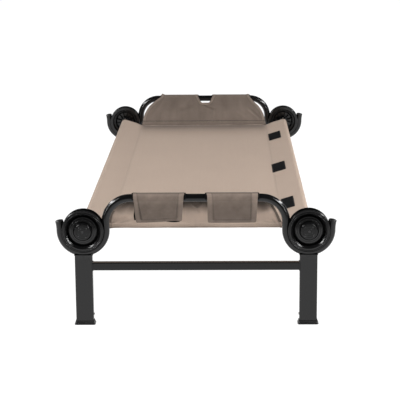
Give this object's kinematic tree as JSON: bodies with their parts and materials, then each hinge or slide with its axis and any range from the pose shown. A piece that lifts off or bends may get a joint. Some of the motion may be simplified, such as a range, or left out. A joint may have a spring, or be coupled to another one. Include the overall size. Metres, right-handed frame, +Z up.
{
  "type": "camping cot",
  "caption": "Camping cot: a woven deck on side rails whose grooved end discs sit in the U-shaped cradles of bent-tube end frames with box-section legs.",
  "frame": {"origin": "on the floor, under the middle of the cot", "axes": "+Z up; +Y from the foot end to the head end; +X to the right when looking from the foot end to the head end"},
  "size_m": [0.8656, 2.016, 0.4167],
  "materials": {
    "powder_steel": "black powder coat, semi-gloss",
    "rail_steel": "black powder coat, smooth",
    "moulded_plastic": "moulded black plastic",
    "zinc_steel": "zinc-plated steel",
    "deck_cloth": "plain-woven polyester, taupe",
    "panel_cloth": "plain-woven polyester, taupe, hemmed",
    "hook_fastener": "black hook-and-loop tape"
  },
  "bodies": {
    "frames": {"footend_bow_tube": "powder_steel", "footend_crossbar": "powder_steel", "footend_leg_left": "powder_steel", "footend_tip_plug_left": "moulded_plastic", "footend_floor_cap_left": "moulded_plastic", "footend_leg_spring_left": "zinc_steel", "footend_leg_right": "powder_steel", "footend_tip_plug_right": "moulded_plastic", "footend_floor_cap_right": "moulded_plastic", "footend_leg_spring_right": "zinc_steel", "headend_bow_tube": "powder_steel", "headend_crossbar": "powder_steel", "headend_leg_left": "powder_steel", "headend_tip_plug_left": "moulded_plastic", "headend_floor_cap_left": "moulded_plastic", "headend_leg_spring_left": "zinc_steel", "headend_leg_right": "powder_steel", "headend_tip_plug_right": "moulded_plastic", "headend_floor_cap_right": "moulded_plastic", "headend_leg_spring_right": "zinc_steel"},
    "deck": {"deck": "deck_cloth", "footend_panel": "panel_cloth", "headend_panel": "panel_cloth", "hook_patch_foot": "hook_fastener", "hook_patch_middle": "hook_fastener", "hook_patch_head": "hook_fastener"},
    "rail_left": {"rail_left_foot": "rail_steel", "rail_left_head": "rail_steel", "rail_left_snap_spring": "zinc_steel", "disc_foot_left": "moulded_plastic", "hub_cap_foot_left": "moulded_plastic", "rivet_foot_left": "zinc_steel", "disc_head_left": "moulded_plastic", "hub_cap_head_left": "moulded_plastic", "rivet_head_left": "zinc_steel"},
    "rail_right": {"rail_right_foot": "rail_steel", "rail_right_head": "rail_steel", "rail_right_snap_spring": "zinc_steel", "disc_foot_right": "moulded_plastic", "hub_cap_foot_right": "moulded_plastic", "rivet_foot_right": "zinc_steel", "disc_head_right": "moulded_plastic", "hub_cap_head_right": "moulded_plastic", "rivet_head_right": "zinc_steel"},
    "footend_flap_body_left": {"footend_flap_left": "panel_cloth"},
    "footend_flap_body_right": {"footend_flap_right": "panel_cloth"},
    "headend_flap_body_left": {"headend_flap_left": "panel_cloth"},
    "headend_flap_body_right": {"headend_flap_right": "panel_cloth"},
    "footend_button_body_left": {"footend_leg_button_left": "zinc_steel"},
    "footend_button_body_right": {"footend_leg_button_right": "zinc_steel"},
    "headend_button_body_left": {"headend_leg_button_left": "zinc_steel"},
    "headend_button_body_right": {"headend_leg_button_right": "zinc_steel"},
    "rail_left_snap_body": {"rail_left_snap_button": "zinc_steel"},
    "rail_right_snap_body": {"rail_right_snap_button": "zinc_steel"}
  },
  "joints": [
    {"name": "deck_lift", "type": "slide", "parent": "frames", "child": "deck", "axis": [0, 0, 1], "range_m": [0, 0.15]},
    {"name": "rail_roll_left", "type": "hinge", "parent": "deck", "child": "rail_left", "pos_m": [-0.3475, 0, 0.3008], "axis": [0, 1, 0], "continuous": true},
    {"name": "rail_roll_right", "type": "hinge", "parent": "deck", "child": "rail_right", "pos_m": [0.3475, 0, 0.3008], "axis": [0, 1, 0], "continuous": true},
    {"name": "footend_flap_open_left", "type": "hinge", "parent": "deck", "child": "footend_flap_body_left", "pos_m": [0, -0.98554, 0.41572], "axis": [-1, 0, 0], "range_deg": [0, 160]},
    {"name": "footend_flap_open_right", "type": "hinge", "parent": "deck", "child": "footend_flap_body_right", "pos_m": [0, -0.98554, 0.41572], "axis": [-1, 0, 0], "range_deg": [0, 160]},
    {"name": "headend_flap_open_left", "type": "hinge", "parent": "deck", "child": "headend_flap_body_left", "pos_m": [0, 0.98554, 0.41572], "axis": [1, 0, 0], "range_deg": [0, 160]},
    {"name": "headend_flap_open_right", "type": "hinge", "parent": "deck", "child": "headend_flap_body_right", "pos_m": [0, 0.98554, 0.41572], "axis": [1, 0, 0], "range_deg": [0, 160]},
    {"name": "footend_leg_button_press_left", "type": "slide", "parent": "frames", "child": "footend_button_body_left", "axis": [-1, 0, 0], "range_m": [0, 0.0032], "stiffness_N_per_m": 1500, "springref_m": -0.003, "deforming": ["footend_leg_spring_left"]},
    {"name": "footend_leg_button_press_right", "type": "slide", "parent": "frames", "child": "footend_button_body_right", "axis": [1, 0, 0], "range_m": [0, 0.0032], "stiffness_N_per_m": 1500, "springref_m": -0.003, "deforming": ["footend_leg_spring_right"]},
    {"name": "headend_leg_button_press_left", "type": "slide", "parent": "frames", "child": "headend_button_body_left", "axis": [-1, 0, 0], "range_m": [0, 0.0032], "stiffness_N_per_m": 1500, "springref_m": -0.003, "deforming": ["headend_leg_spring_left"]},
    {"name": "headend_leg_button_press_right", "type": "slide", "parent": "frames", "child": "headend_button_body_right", "axis": [1, 0, 0], "range_m": [0, 0.0032], "stiffness_N_per_m": 1500, "springref_m": -0.003, "deforming": ["headend_leg_spring_right"]},
    {"name": "rail_left_snap_press", "type": "slide", "parent": "rail_left", "child": "rail_left_snap_body", "axis": [0, 0, 1], "range_m": [0, 0.0028], "stiffness_N_per_m": 1500, "springref_m": -0.002, "deforming": ["rail_left_snap_spring"]},
    {"name": "rail_right_snap_press", "type": "slide", "parent": "rail_right", "child": "rail_right_snap_body", "axis": [0, 0, 1], "range_m": [0, 0.0028], "stiffness_N_per_m": 1500, "springref_m": -0.002, "deforming": ["rail_right_snap_spring"]}
  ]
}
